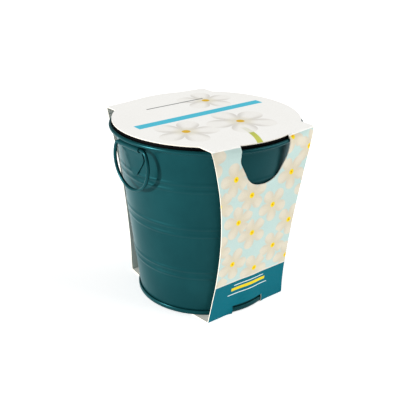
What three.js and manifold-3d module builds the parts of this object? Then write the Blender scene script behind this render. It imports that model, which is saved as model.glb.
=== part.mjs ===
// Paperwhite narcissus bulb growing kit: a painted steel pail with two ring handles, a black
// plastic liner pot with growing medium and three bulbs in it, and a folded printed card
// sleeve around the whole. Millimetres, +Z up, origin on the floor under the middle of the pail.
// The sleeve's two broad panels face -Y and +Y; the ring handles hang near -X and +X.
import * as THREE from 'three';
import { mergeVertices } from 'three/addons/utils/BufferGeometryUtils.js';
import Module from 'manifold-3d';

const wasm = await Module();
wasm.setup();

// Driving dimensions, pail
const PAIL_TURN = 2.5;          // degrees the pail stands turned in its sleeve
const STEEL = 0.7;              // sheet thickness
const WALL_R0 = 53.93;          // outer wall radius carried down to the floor
const WALL_SLOPE = 0.1158;      // radius gained per mm of height
const WALL_FOOT_Z = 1.5;        // lower edge of the wall sheet, inside the seamed foot
const RIM_R = 75;               // outermost radius of the rolled rim
const ROLL_R = 1.55;            // outer radius of the roll itself
const ROLL_Z = 141.1;           // height of the roll's centre
const NECK_Z = 138.4;           // where the wall turns out into the roll
const BEAD_Z = [35.1, 40.9, 72.4, 78.9, 109.5, 115.0];
const BEAD_RISE = 0.42;
const BEAD_HALF = 2.1;          // half height of a bead
const FOOT_R = 55.9;            // outer radius of the seamed foot ring
const FOOT_TOP = 4.6;
const FOOT_GAP = 0.2;           // play between foot ring and wall
const BASE_Z = 6;               // underside of the raised bottom disc
const BASE_STEP = 3;            // width of the step that raises the disc
const CARD = 0.6;               // sleeve card thickness
const STAND_Z = CARD + 0.05;    // the pail stands on the sleeve's bottom panel

// Driving dimensions, ring handles and their ears
const PIVOT_X = 72.15;          // the bar's axis, out from the pail's middle
const PIVOT_Z = 137.05;
const WIRE_R = 1.3;
const TUBE_R = 2.15;            // the curl that holds the bar: outer radius, bore, half length
const BORE_R = 1.55;
const TUBE_HALF = 12.2;
const EAR_T = 0.8;              // strap thickness
const EAR_GAP = 0.15;           // paint and air between strap and wall
const EAR_ON_BEAD = [117, 120]; // the strap comes down off the upper beads between these heights
const EAR_OFF_WALL = [127, 135.5]; // and leaves the wall for the curl between these
// [z, half width] of the shield-shaped strap
const EAR_HALF = [[113.6, 0.8], [114.4, 2.0], [117.6, 4.5], [120.6, 6.7], [124, 9.3], [127, 11.0],
  [130, 12.0], [133.5, TUBE_HALF], [PIVOT_Z, TUBE_HALF]];
const BAR_HALF = 13.7;          // straight part of the ring's bar
const RING_A = 20.3;            // half width of the ring's bow, wire centre
const RING_B = 21.1;            // half height of the same
const RING_DROP = 12;           // bow centre below the pivot
const RING_JOIN = 6;            // the shoulder meets the bow this far above the bow's centre
const SHOULDER = [[3.5, 0], [-1.1, 3.8]]; // grips of the shoulder curve at bar and bow
const RING_SLIDE = 1;           // each ring rests a little to one side in its curl

// Driving dimensions, liner pot, medium and bulbs
const FLANGE_R = 72;
const FLANGE_Z0 = 141.85;       // lower edge of the flange's turned-down lip
const FLANGE_Z1 = 145.05;
const LINER_TOP_R = 68.2;
const LINER_FOOT_R = 50.5;
const LINER_FLOOR = 8;
const LINER_T = 1;
const LINER_HEEL = 2;           // slope between the pot's floor and its wall
const SOIL_Z = 101;
const SOIL_GAP = 0.35;          // play between medium and liner, and between medium and bulbs
const BULB_RING = 27;           // the bulbs stand on a circle of this radius
const BULBS = [
  { name: 'bulb_a', angle: 80, foot: 73, size: 1, lean: 0 },
  { name: 'bulb_b', angle: 203, foot: 74, size: 0.96, lean: -6 },
  { name: 'bulb_c', angle: 318, foot: 72, size: 0.98, lean: 5 },
];

// Driving dimensions, sleeve
const SLEEVE_H = 145.7;
const TOP_HALF_X = 48.7;
const DISC_R = 72.5;
// [z, half width] of a broad panel, and [z, distance of its outer face from the middle plane]
const PANEL_HALF = [[0, 38.9], [16.6, 37], [38.4, 35.45], [52.8, 35.25], [67, 35.6], [88, 37.3],
  [108, 40.15], [127, 44.1], [SLEEVE_H, TOP_HALF_X]];
const PANEL_BOW = [[0, 53.5], [16.6, 55.7], [38.4, 59.2], [52.8, 61.3], [67, 63.2], [88, 65.6],
  [108, 67.2], [127, 67.8], [137, 67.8], [SLEEVE_H, 66.9]];
// [z, distance] the back panel stands out further than the front one
const BACK_SWELL = [[0, 0], [7.5, 1.2], [18, 1.9], [30, 2.5], [40, 3.1], [66, 3.4], [90, 3.1],
  [115, 2], [135, 0.6], [SLEEVE_H, 0]];
// [z, radius] the card is pushed out to where it lies over foot, wall, beads and rim roll
const DRAPE_R = [[0, 56.65], [4.7, 56.65], [7, 55.65], [12, 56.15], [20, 57.05], [30, 58.2],
  [35.1, 59.2], [40.9, 59.9], [46, 60.1], [60, 61.7], [72.4, 63.6], [78.9, 64.35], [90, 65.2],
  [104, 66.9], [109.5, 67.9], [115, 68.6], [126, 72], [136, 75], [139, 75.85], [142.2, 75.85],
  [143.4, 75], [SLEEVE_H, 73]];
const DRAPE_BLEND = 0.4;        // how softly the card's own bow runs into the pushed-out part
// outline of the thumb notch as [x, z], down its left edge and up its right edge
const NOTCH = [[-25, SLEEVE_H], [-25.6, 142], [-25.9, 139], [-25.6, 136], [-24.7, 132.9],
  [-22.7, 129.4], [-20.5, 125.8], [-18.2, 122.2], [-16, 118.6], [-13.8, 116.1], [-11.2, 114],
  [-8.4, 112.7], [-5.4, 112], [-1, 111.7], [3.4, 112], [7.4, 113], [10.6, 114.5], [13.2, 116.5],
  [15, 118.8], [16.2, 121.4], [17.3, 124.6], [18.5, 127.8], [19.1, 130.6], [19.1, 133.5],
  [18.5, 137], [18.2, 141], [18.4, SLEEVE_H]];
const NOTCH_LEFT = -25.9;       // its widest places; beyond them the card runs straight
const NOTCH_RIGHT = 19.1;
const SLOT_HALF = 15.2;         // foot slot: half width, top, and how far it reaches underneath
const SLOT_TOP = 7;
const SLOT_IN = 50.5;
const FLARE = 1.9;              // the bottom panel widens by this much on each side
const FLARE_Y = 35;             // up to here
const LAP_HALF = 8;             // glued lap across the bottom panel, half its width
const LAP_LENGTH = 74;

const paint = (name, color, roughness, metalness) =>
  new THREE.MeshStandardMaterial({ name, color, roughness, metalness });
const PAINT = paint('pail_paint', 0x1d4e53, 0.4, 0.3);
const PLASTIC = paint('liner_plastic', 0x0a0a0a, 0.5, 0);
const SOIL = paint('growing_medium', 0x4a3626, 0.95, 0);
const TUNIC = paint('bulb_tunic', 0x8a5a34, 0.7, 0);
const BOARD = paint('sleeve_card', 0xf2f0ea, 0.7, 0);

const rad = THREE.MathUtils.degToRad;
const wallR = (z) => WALL_R0 + WALL_SLOPE * z;
const spaced = (from, to, steps) =>
  Array.from({ length: steps + 1 }, (_, i) => from + (to - from) * i / steps);

// Value at t of the smooth monotone curve through rows of [t, value].
function curve(rows, t) {
  const n = rows.length;
  if (t <= rows[0][0]) return rows[0][1];
  if (t >= rows[n - 1][0]) return rows[n - 1][1];
  let i = 0;
  while (t > rows[i + 1][0]) i += 1;
  const slope = (a) => (a < 0 || a > n - 2 ? null
    : (rows[a + 1][1] - rows[a][1]) / (rows[a + 1][0] - rows[a][0]));
  const tangent = (a) => {
    const before = slope(a - 1), after = slope(a);
    if (before === null) return after;
    if (after === null) return before;
    return before * after <= 0 ? 0 : 2 * before * after / (before + after);
  };
  const h = rows[i + 1][0] - rows[i][0], s = (t - rows[i][0]) / h;
  return rows[i][1] * (1 + 2 * s) * (1 - s) ** 2 + tangent(i) * h * s * (1 - s) ** 2
    + rows[i + 1][1] * s * s * (3 - 2 * s) + tangent(i + 1) * h * s * s * (s - 1);
}

// Closed geometry from points and triangles, turned so that its faces look outward.
function closed(points, triangles) {
  let volume = 0;
  for (const [a, b, c] of triangles) {
    const [p, q, r] = [points[a], points[b], points[c]];
    volume += p[0] * (q[1] * r[2] - q[2] * r[1]) - p[1] * (q[0] * r[2] - q[2] * r[0])
      + p[2] * (q[0] * r[1] - q[1] * r[0]);
  }
  const index = triangles.flatMap(([a, b, c]) => (volume < 0 ? [a, c, b] : [a, b, c]));
  const geometry = new THREE.BufferGeometry();
  geometry.setAttribute('position', new THREE.Float32BufferAttribute(points.flat(), 3));
  geometry.setIndex(index);
  geometry.computeVertexNormals();
  return geometry;
}

// Turned body about Z from [radius, z] points. An open profile starts and ends on the axis,
// where one point stands for the whole ring; a ring profile closes on itself.
// bump(angle, row) may scale the radius and lift(angle, row) raise the height of natural shapes.
function turned(profile, segments, ring = false, bump = () => 1, lift = () => 0) {
  const points = [], rows = [], triangles = [];
  profile.forEach(([r, z], row) => {
    const start = points.length, pole = r < 1e-6;
    for (let s = 0; s < (pole ? 1 : segments); s += 1) {
      const angle = 2 * Math.PI * s / segments, k = r * bump(angle, row);
      points.push([k * Math.cos(angle), k * Math.sin(angle), z + (pole ? 0 : lift(angle, row))]);
    }
    rows.push((s) => start + (pole ? 0 : s % segments));
  });
  const last = ring ? rows.length : rows.length - 1;
  for (let i = 0; i < last; i += 1) {
    const a = rows[i], b = rows[(i + 1) % rows.length];
    for (let s = 0; s < segments; s += 1) {
      if (a(s) !== a(s + 1)) triangles.push([a(s), a(s + 1), b(s + 1)]);
      if (b(s) !== b(s + 1)) triangles.push([a(s), b(s + 1), b(s)]);
    }
  }
  return closed(points, triangles);
}

// Thin curved plate: outer(i, j) and inner(i, j) give the two faces of a grid of cells.
function plate(columns, rows, outer, inner) {
  const points = [], triangles = [];
  const id = (face, i, j) => (face * (rows + 1) + j) * (columns + 1) + i;
  for (const face of [outer, inner]) {
    for (let j = 0; j <= rows; j += 1) {
      for (let i = 0; i <= columns; i += 1) points.push(face(i, j));
    }
  }
  const quad = (a, b, c, d) => triangles.push([a, b, c], [a, c, d]);
  for (let j = 0; j < rows; j += 1) {
    for (let i = 0; i < columns; i += 1) {
      quad(id(0, i, j), id(0, i + 1, j), id(0, i + 1, j + 1), id(0, i, j + 1));
      quad(id(1, i, j), id(1, i, j + 1), id(1, i + 1, j + 1), id(1, i + 1, j));
    }
    quad(id(0, 0, j), id(0, 0, j + 1), id(1, 0, j + 1), id(1, 0, j));
    quad(id(0, columns, j), id(1, columns, j), id(1, columns, j + 1), id(0, columns, j + 1));
  }
  for (let i = 0; i < columns; i += 1) {
    quad(id(0, i, 0), id(1, i, 0), id(1, i + 1, 0), id(0, i + 1, 0));
    quad(id(0, i, rows), id(0, i + 1, rows), id(1, i + 1, rows), id(1, i, rows));
  }
  return closed(points, triangles);
}

// Flat outline of [x, y] points, raised from z0 to z1.
function slab(outline, z0, z1) {
  const shape = new THREE.Shape(outline.map(([x, y]) => new THREE.Vector2(x, y)));
  const geometry = new THREE.ExtrudeGeometry(shape, { depth: z1 - z0, bevelEnabled: false });
  return geometry.translate(0, 0, z0);
}

// Upright cutter: outline of [x, z] points, standing between y0 and y1.
function cutter(outline, y0, y1) {
  return slab(outline, -y1, -y0).rotateX(Math.PI / 2);
}

function solid(geometry) {
  const bare = geometry.clone();
  bare.deleteAttribute('normal');
  bare.deleteAttribute('uv');
  const merged = mergeVertices(bare, 1e-4);
  const index = merged.index ? merged.index.array : null;
  return new wasm.Manifold(new wasm.Mesh({
    numProp: 3,
    vertProperties: new Float32Array(merged.attributes.position.array),
    triVerts: new Uint32Array(index),
  }));
}

function geometryOf(body) {
  const mesh = body.getMesh();
  const geometry = new THREE.BufferGeometry();
  geometry.setAttribute('position', new THREE.BufferAttribute(mesh.vertProperties, 3));
  geometry.setIndex(new THREE.BufferAttribute(mesh.triVerts, 1));
  geometry.computeVertexNormals();
  return geometry;
}

function part(name, geometry, material, parent) {
  const mesh = new THREE.Mesh(geometry, material);
  mesh.name = name;
  parent.add(mesh);
  return mesh;
}

function group(name, parent) {
  const made = new THREE.Group();
  made.name = name;
  if (parent) parent.add(made);
  return made;
}

// Pail

// Outer wall radius with the pressed beads that run round it in pairs.
function beadedWall() {
  const rows = [[wallR(WALL_FOOT_Z), WALL_FOOT_Z]];
  for (const z of BEAD_Z) {
    for (const [dz, rise] of [[-1, 0], [-0.38, 1], [0.38, 1], [1, 0]]) {
      const at = z + dz * BEAD_HALF;
      rows.push([wallR(at) + rise * BEAD_RISE, at]);
    }
  }
  return rows;
}

// One sheet: up the beaded outside, round the rolled rim, back inside the roll and down again.
// The sheet's outer face turns into the inside of the roll.
function pailWall() {
  const middle = RIM_R - ROLL_R, neck = wallR(NECK_Z);
  const rollArc = (r, from, to, steps) => spaced(rad(from), rad(to), steps)
    .map((a) => [middle + r * Math.cos(a), ROLL_Z + r * Math.sin(a)]);
  return turned([
    ...beadedWall(), [neck, NECK_Z],
    ...rollArc(ROLL_R - STEEL, 195, -105, 7),
    ...rollArc(ROLL_R, -105, 180, 10),
    [neck - STEEL, NECK_Z + 1], [wallR(WALL_FOOT_Z) - STEEL, WALL_FOOT_Z],
  ], 50, true);
}

// Bottom disc, raised inside, its edge seamed round the wall's lower edge as the foot ring.
function pailBase() {
  const inside = wallR(WALL_FOOT_Z) - STEEL - FOOT_GAP, outside = wallR(FOOT_TOP) + FOOT_GAP;
  const pocket = WALL_FOOT_Z - FOOT_GAP;
  return turned([
    [0, BASE_Z], [inside - BASE_STEP, BASE_Z], [inside - STEEL - 0.6, BASE_Z - 0.7],
    [inside - STEEL, STAND_Z + 0.9], [inside - STEEL + 0.4, STAND_Z + 0.2], [inside, STAND_Z],
    [FOOT_R - 0.9, STAND_Z], [FOOT_R - 0.25, STAND_Z + 0.35], [FOOT_R, STAND_Z + 1.1],
    [FOOT_R, FOOT_TOP - 0.8], [FOOT_R - 0.35, FOOT_TOP - 0.1], [outside, FOOT_TOP],
    [outside, pocket], [inside, pocket], [inside, BASE_Z + STEEL], [0, BASE_Z + STEEL],
  ], 40);
}

// Ear: a steel strap folded round the ring's bar and laid flat down the wall, shield-shaped.
// Built for the +X side; its tube stands off the wall just under the rim.
function ear() {
  const columns = 8, rows = 9, levels = spaced(EAR_HALF[0][0], PIVOT_Z, rows);
  const face = (lift) => (i, j) => {
    const z = levels[j], y = curve(EAR_HALF, z) * (2 * i / columns - 1);
    const overBead = BEAD_RISE * (1 - THREE.MathUtils.smoothstep(z, ...EAR_ON_BEAD));
    const onWall = Math.sqrt((wallR(z) + EAR_GAP + overBead + lift) ** 2 - y * y);
    const upright = PIVOT_X - TUBE_R + 0.05 + lift;
    const share = THREE.MathUtils.smoothstep(z, ...EAR_OFF_WALL);
    return [onWall + (upright - onWall) * share, y, z];
  };
  const rod = (r, half) => solid(new THREE.CylinderGeometry(r, r, 2 * half, 18)
    .translate(PIVOT_X, 0, PIVOT_Z));
  return solid(plate(columns, rows, face(EAR_T), face(0)))
    .add(rod(TUBE_R, TUBE_HALF)).subtract(rod(BORE_R, TUBE_HALF + 3));
}

// Ring handle for the +X side: a straight bar through the tube, rounded shoulders, and a wide
// half-ellipse below. Its own origin is the middle of the bar.
function ringHandle() {
  const lean = Math.asin((RING_DROP - RING_JOIN) / RING_B);
  const join = [RING_A * Math.cos(lean), RING_B * Math.sin(lean) - RING_DROP];
  const shoulder = new THREE.CubicBezierCurve(
    new THREE.Vector2(BAR_HALF, 0),
    new THREE.Vector2(BAR_HALF + SHOULDER[0][0], SHOULDER[0][1]),
    new THREE.Vector2(join[0] + SHOULDER[1][0], join[1] + SHOULDER[1][1]),
    new THREE.Vector2(...join));
  const bow = spaced(lean, -Math.PI / 2, 10).slice(1)
    .map((a) => [RING_A * Math.cos(a), RING_B * Math.sin(a) - RING_DROP]);
  const half = [[0, 0], ...shoulder.getPoints(5).map((p) => p.toArray()), ...bow];
  const mirrored = half.slice(1, -1).reverse().map(([y, z]) => [-y, z]);
  return wire([...half, ...mirrored], WIRE_R, 10);
}

// Round wire along a closed path of [y, z] points in the plane X = 0.
function wire(path, radius, sides) {
  const n = path.length, points = [], triangles = [];
  path.forEach(([y, z], i) => {
    const [before, after] = [path[(i + n - 1) % n], path[(i + 1) % n]];
    const out = new THREE.Vector2(before[1] - after[1], after[0] - before[0]).normalize();
    for (let s = 0; s < sides; s += 1) {
      const q = 2 * Math.PI * s / sides, side = radius * Math.cos(q);
      points.push([radius * Math.sin(q), y + out.x * side, z + out.y * side]);
    }
  });
  const id = (i, s) => (i % n) * sides + s % sides;
  for (let i = 0; i < n; i += 1) {
    for (let s = 0; s < sides; s += 1) {
      triangles.push([id(i, s), id(i + 1, s), id(i + 1, s + 1)]);
      triangles.push([id(i, s), id(i + 1, s + 1), id(i, s + 1)]);
    }
  }
  return closed(points, triangles);
}

// Thin plastic pot that hangs in the pail by a flange with a turned-down lip.
function linerPot() {
  const lip = FLANGE_R - LINER_T, topIn = LINER_TOP_R - LINER_T, footIn = LINER_FOOT_R - LINER_T;
  const under = FLANGE_Z1 - LINER_T, floorTop = LINER_FLOOR + LINER_T;
  return turned([
    [0, LINER_FLOOR], [LINER_FOOT_R - LINER_HEEL, LINER_FLOOR],
    [LINER_FOOT_R, LINER_FLOOR + LINER_HEEL], [LINER_TOP_R, FLANGE_Z0], [LINER_TOP_R, under],
    [lip, under], [lip, FLANGE_Z0], [FLANGE_R - 0.3, FLANGE_Z0], [FLANGE_R, FLANGE_Z0 + 0.3],
    [FLANGE_R, FLANGE_Z1 - 0.25], [FLANGE_R - 0.25, FLANGE_Z1], [topIn + 0.3, FLANGE_Z1],
    [topIn, FLANGE_Z1 - 0.4], [topIn, FLANGE_Z0], [footIn, floorTop + 1.4],
    [footIn - 1.3, floorTop], [0, floorTop],
  ], 48);
}

// Bulb: basal plate, swollen body with shallow tunic ridges, neck with a shrivelled tip.
const BULB_PROFILE = [[0, 0.4], [6, 0], [8.5, 1.2], [9.5, 3.2], [14.5, 7], [18.6, 12.5],
  [20.8, 19], [20.8, 26], [18.6, 33], [14.4, 39.5], [9.8, 45], [6.8, 50], [5.2, 55], [4.3, 60],
  [2.6, 63.2], [0, 64]];
function bulbBody(size, swell) {
  const last = BULB_PROFILE.length - 1;
  const profile = BULB_PROFILE.map(([r, z], i) => {
    const onAxis = i === 0 || i === last;
    const lift = i < 4 ? -swell : (i > last - 3 ? swell : 0);
    return [onAxis ? 0 : r * size + swell, z * size + lift];
  });
  const ridge = (a, row) =>
    1 + 0.02 * Math.sin(5 * a + row * 0.25) + 0.012 * Math.sin(2 * a + row);
  return turned(profile, 22, false, ridge);
}

function placed(geometry, bulb) {
  const a = rad(bulb.angle);
  return geometry.rotateY(rad(bulb.lean))
    .translate(BULB_RING * Math.cos(a), BULB_RING * Math.sin(a), bulb.foot);
}

// Growing medium fills the liner up to a loose, uneven top; the bulbs sit in hollows of their
// own shape.
function growingMedium() {
  const foot = LINER_FLOOR + LINER_T + SOIL_GAP, heel = foot + LINER_HEEL, brim = SOIL_Z - 1.5;
  const slope = (LINER_TOP_R - LINER_FOOT_R) / (FLANGE_Z0 - foot);
  const inside = (z) => LINER_FOOT_R - LINER_T - SOIL_GAP + slope * (z - foot - 1);
  const profile = [[0, foot], [inside(heel) - LINER_HEEL, foot], [inside(heel), heel],
    [inside(brim), brim], [55, SOIL_Z], [46, SOIL_Z], [37, SOIL_Z + 0.5], [27, SOIL_Z],
    [14, SOIL_Z + 0.5], [0, SOIL_Z + 1]];
  const lumps = (a, row) => (row < 4 || row > 8 ? 0
    : 1.1 * Math.sin(5 * a + row * 2.1) + 0.7 * Math.sin(9 * a - row * 1.3));
  let body = solid(turned(profile, 32, false, () => 1, lumps));
  for (const bulb of BULBS) {
    body = body.subtract(solid(placed(bulbBody(bulb.size, SOIL_GAP), bulb)));
  }
  return geometryOf(body);
}

// Sleeve

const smoothMax = (a, b, k) => 0.5 * (a + b + Math.hypot(a - b, k));

// Distance from the middle plane to the outer face of a broad panel: its own bow, or further
// out where the pail pushes it. Beside the notch the card runs straight out to its corner.
function panelY(x, z, swell = 0) {
  const bow = curve(PANEL_BOW, z) + swell * curve(BACK_SWELL, z), r = curve(DRAPE_R, z);
  const pushed = (at) => smoothMax(bow, Math.sqrt(r * r - at * at), DRAPE_BLEND);
  const [side, inner] = x < 0 ? [-1, NOTCH_LEFT] : [1, NOTCH_RIGHT];
  const share = (x - inner) / (side * curve(PANEL_HALF, z) - inner);
  if (share <= 0) return pushed(x);
  const straight = pushed(inner) + (bow - pushed(inner)) * Math.min(1, share);
  return Math.max(pushed(x), straight);
}

// Broad panel, facing -Y, from fold to fold, with the thumb notch above and the foot slot below.
// swell is 1 for the panel that will be the back one.
function broadPanel(swell) {
  const levels = [CARD / 2, 3.5, 7, 11, 17, 25, 35, 46, 58, 70, 82, 94, 104, 112, 119, 125, 130,
    134, 137.5, 140, 142.2, 143.6, SLEEVE_H - CARD / 2];
  const columns = 20, rows = levels.length - 1;
  const atFold = (j) => j === 0 || j === rows;
  const outer = (i, j) => {
    const z = levels[j], x = curve(PANEL_HALF, z) * (2 * i / columns - 1);
    return [x, (atFold(j) ? 0.05 : 0) - panelY(x, z, swell), z];
  };
  const inner = (i, j) => {
    const [x, y, z] = outer(i, j), d = 0.4;
    const acrossX = (panelY(x + d, z, swell) - panelY(x - d, z, swell)) / (2 * d);
    const acrossZ = (panelY(x, z + d, swell) - panelY(x, z - d, swell)) / (2 * d);
    const k = CARD / Math.hypot(acrossX, 1, acrossZ);
    return [x + acrossX * k, y + k, z + (atFold(j) ? 0 : acrossZ * k)];
  };
  const above = SLEEVE_H + 6, below = -2;
  const notch = [[NOTCH[0][0], above], ...NOTCH, [NOTCH[NOTCH.length - 1][0], above]];
  const slot = [[-SLOT_HALF, below], [SLOT_HALF, below], [SLOT_HALF, SLOT_TOP],
    [-SLOT_HALF, SLOT_TOP]];
  return solid(plate(columns, rows, outer, inner))
    .subtract(solid(cutter(notch, -90, -50)))
    .subtract(solid(cutter(slot, -70, -40)));
}

// Full outline from the half that runs along the front edge and up the right side.
const both = (half) => [...half, ...half.map(([x, y]) => [-x, -y])];

// Top panel: a disc over the rim joined with the strip between the folds; over each notch the
// disc's edge runs on past the fold line as a tongue.
function topPanel() {
  const z = SLEEVE_H - CARD / 2, left = NOTCH[0][0], right = NOTCH[NOTCH.length - 1][0];
  const onDisc = (x) => [x, -Math.sqrt(DISC_R ** 2 - x * x)];
  const onFold = (x) => [x, -panelY(x, z)];
  const side = Math.acos(TOP_HALF_X / DISC_R);
  return slab(both([
    ...spaced(-TOP_HALF_X, left, 7).map(onFold),
    ...spaced(left, right, 10).map(onDisc),
    ...spaced(right, TOP_HALF_X, 8).map(onFold),
    ...spaced(-side, side, 20).map((a) => [DISC_R * Math.cos(a), DISC_R * Math.sin(a)]),
  ]), SLEEVE_H - CARD, SLEEVE_H);
}

// Bottom panel under the foot ring, cut back at the two foot slots.
function bottomPanel() {
  const half = PANEL_HALF[0][1], onFold = (x) => [x, -panelY(x, CARD / 2)];
  return slab(both([
    ...spaced(-half, -SLOT_HALF, 5).map(onFold), [-SLOT_HALF, -SLOT_IN], [SLOT_HALF, -SLOT_IN],
    ...spaced(SLOT_HALF, half, 5).map(onFold), [half + FLARE, -FLARE_Y], [half + FLARE, FLARE_Y],
  ]), 0, CARD);
}

function cardSleeve() {
  const back = geometryOf(broadPanel(1)).rotateZ(Math.PI);
  const end = LAP_LENGTH / 2;
  const lap = slab([[-end, -LAP_HALF], [end, -LAP_HALF], [end, LAP_HALF], [-end, LAP_HALF]],
    CARD / 2, 2 * CARD);
  return geometryOf(broadPanel(0).add(solid(back)).add(solid(topPanel()))
    .add(solid(bottomPanel())).add(solid(lap)));
}

// Assembly. The pail with all it holds stands turned a little in the sleeve.

const kit = group('paperwhite_bulb_kit');
const fixed = group('kit_body', kit);
const pail = group('pail', fixed);
pail.rotation.z = rad(PAIL_TURN);
part('pail_wall', pailWall(), PAINT, pail);
part('pail_base', pailBase(), PAINT, pail);
part('liner_pot', linerPot(), PLASTIC, pail);
part('growing_medium', growingMedium(), SOIL, pail);
for (const bulb of BULBS) part(bulb.name, placed(bulbBody(bulb.size, 0), bulb), TUNIC, pail);
part('card_sleeve', cardSleeve(), BOARD, fixed);

for (const [side, turn] of [['left', 180], ['right', 0]]) {
  part(`ear_${side}`, geometryOf(ear()).rotateZ(rad(turn)), PAINT, pail);
  const hanger = group(`ring_${side}_body`, kit);
  hanger.rotation.z = rad(PAIL_TURN + turn);
  const ring = part(`ring_${side}`, ringHandle(), PAINT, hanger);
  ring.position.set(PIVOT_X, RING_SLIDE, PIVOT_Z);
}

export default kit;
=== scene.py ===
# %% [markdown]
# # A narcissus bulb growing kit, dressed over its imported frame
# The object is a painted steel pail with two ring handles. A black plastic pot hangs in it, filled
# with growing medium and three bulbs, and a folded card sleeve runs over the top, down both sides
# and under the foot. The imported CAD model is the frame: it fixes every size and every moving body.
# This script makes a finer piece for each CAD node, gives it a finish, and lets it ride on the
# node's body, so that the rings still swing.

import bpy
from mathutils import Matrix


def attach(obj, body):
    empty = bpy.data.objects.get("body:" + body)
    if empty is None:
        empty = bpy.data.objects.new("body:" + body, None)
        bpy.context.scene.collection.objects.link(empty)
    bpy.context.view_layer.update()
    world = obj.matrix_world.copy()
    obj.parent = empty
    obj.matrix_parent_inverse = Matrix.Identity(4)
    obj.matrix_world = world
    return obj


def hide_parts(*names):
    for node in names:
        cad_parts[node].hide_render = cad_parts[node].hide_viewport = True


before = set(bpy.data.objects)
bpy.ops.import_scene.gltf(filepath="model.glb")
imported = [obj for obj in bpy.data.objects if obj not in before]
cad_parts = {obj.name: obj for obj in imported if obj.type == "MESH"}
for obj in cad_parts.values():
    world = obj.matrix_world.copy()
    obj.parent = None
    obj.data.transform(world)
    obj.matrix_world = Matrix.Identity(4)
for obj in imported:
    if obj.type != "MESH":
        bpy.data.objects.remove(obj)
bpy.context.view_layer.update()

# %% Tools used all through the lesson
import math
import random

import bmesh
import bpy
from mathutils import Matrix, Vector, noise

MM = 0.001
scene = bpy.context.scene
scene.view_settings.view_transform = "Standard"

# %% [markdown]
# ## The camera first
# A camera that stands where the photographer stood makes every later comparison easy. Its place,
# turn and focal length were fitted to the rim, the foot and the card's folds. The small shift moves
# the picture without turning the camera, as a view camera does, so upright edges stay as they are.

# %% Camera
CAMERA_AT = (-323.685, -406.229, 302.776)
AZIMUTH, ROLL = math.radians(-38.548), math.radians(0.623)
BACK = Vector((-0.56556, -0.70979, 0.41993))

level = Vector((math.cos(AZIMUTH), math.sin(AZIMUTH), 0))
upright = BACK.cross(level)
right = level * math.cos(ROLL) + upright * math.sin(ROLL)
up = upright * math.cos(ROLL) - level * math.sin(ROLL)
lens = bpy.data.cameras.new("camera")
lens.sensor_width, lens.lens = 36, 60.50
lens.shift_x, lens.shift_y = 0.0064, 0.0141
lens.clip_start, lens.clip_end = 0.01, 50
camera = bpy.data.objects.new("camera", lens)
looking = Matrix((right, up, BACK)).transposed().to_4x4()
camera.matrix_world = Matrix.Translation(Vector(CAMERA_AT) * MM) @ looking
scene.collection.objects.link(camera)
scene.camera = camera
print("camera stands", round(camera.location.length, 3), "m from the middle of the foot")

# %% [markdown]
# ## Helpers for shapes
# Nearly all of this kit is turned, bent or folded, so four small helpers make most of it: a smooth
# curve through measured rows, rounded corners on a section, a section turned about the upright
# axis, and a thin bent sheet with two faces. All of them take millimetres.

# %% Smooth curve through rows of (t, value)
def curve(rows, t):
    if t <= rows[0][0]:
        return rows[0][1]
    if t >= rows[-1][0]:
        return rows[-1][1]
    i = max(k for k in range(len(rows) - 1) if rows[k][0] <= t)

    def slope(k):
        return (rows[k + 1][1] - rows[k][1]) / (rows[k + 1][0] - rows[k][0])

    def tangent(k):
        if k == 0:
            return slope(0)
        if k == len(rows) - 1:
            return slope(k - 1)
        before, after = slope(k - 1), slope(k)
        return 0 if before * after <= 0 else 2 * before * after / (before + after)

    h = rows[i + 1][0] - rows[i][0]
    s = (t - rows[i][0]) / h
    return (rows[i][1] * (1 + 2 * s) * (1 - s) ** 2 + tangent(i) * h * s * (1 - s) ** 2
            + rows[i + 1][1] * s * s * (3 - 2 * s) + tangent(i + 1) * h * s * s * (s - 1))


def smooth(t, low, high):
    s = min(1, max(0, (t - low) / (high - low)))
    return s * s * (3 - 2 * s)


# %% Section helpers: points on an arc, and corners rounded by a small radius
def arc(cx, cz, radius, start, end, steps):
    turns = [math.radians(start + (end - start) * i / steps) for i in range(steps + 1)]
    return [(cx + radius * math.cos(a), cz + radius * math.sin(a)) for a in turns]


def rounded(points, radius, steps=3):
    made = [points[0]]
    for before, corner, after in zip(points, points[1:], points[2:]):
        a, b, c = Vector(before), Vector(corner), Vector(after)
        cut = min(radius, (b - a).length * 0.45, (c - b).length * 0.45)
        start, end = b + (a - b).normalized() * cut, b + (c - b).normalized() * cut
        for i in range(steps + 1):
            s = i / steps
            made.append(tuple(start * (1 - s) ** 2 + b * 2 * s * (1 - s) + end * s * s))
    return made + [points[-1]]


# %% Mesh object from points in millimetres, with its normals outward and its hard edges kept
def mesh_piece(name, points, faces, turn=Matrix(), place=Matrix(), hard=40):
    mesh = bpy.data.meshes.new(name)
    mesh.from_pydata([turn @ (Vector(p) * MM) for p in points], [], faces)
    shape = bmesh.new()
    shape.from_mesh(mesh)
    bmesh.ops.recalc_face_normals(shape, faces=shape.faces)
    shape.to_mesh(mesh)
    shape.free()
    return shown(name, mesh, place, hard)


def shown(name, mesh, place=Matrix(), hard=40):
    mesh.shade_smooth()
    mesh.set_sharp_from_angle(angle=math.radians(hard))
    made = bpy.data.objects.new(name, mesh)
    made.matrix_world = place
    scene.collection.objects.link(made)
    return made


def finish_piece(made, body, slot, materials, *nodes):
    for material in materials:
        made.data.materials.append(material)
    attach(made, body)
    if nodes:
        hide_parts(*nodes)
    print(made.name, len(made.data.polygons), "faces")


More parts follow.
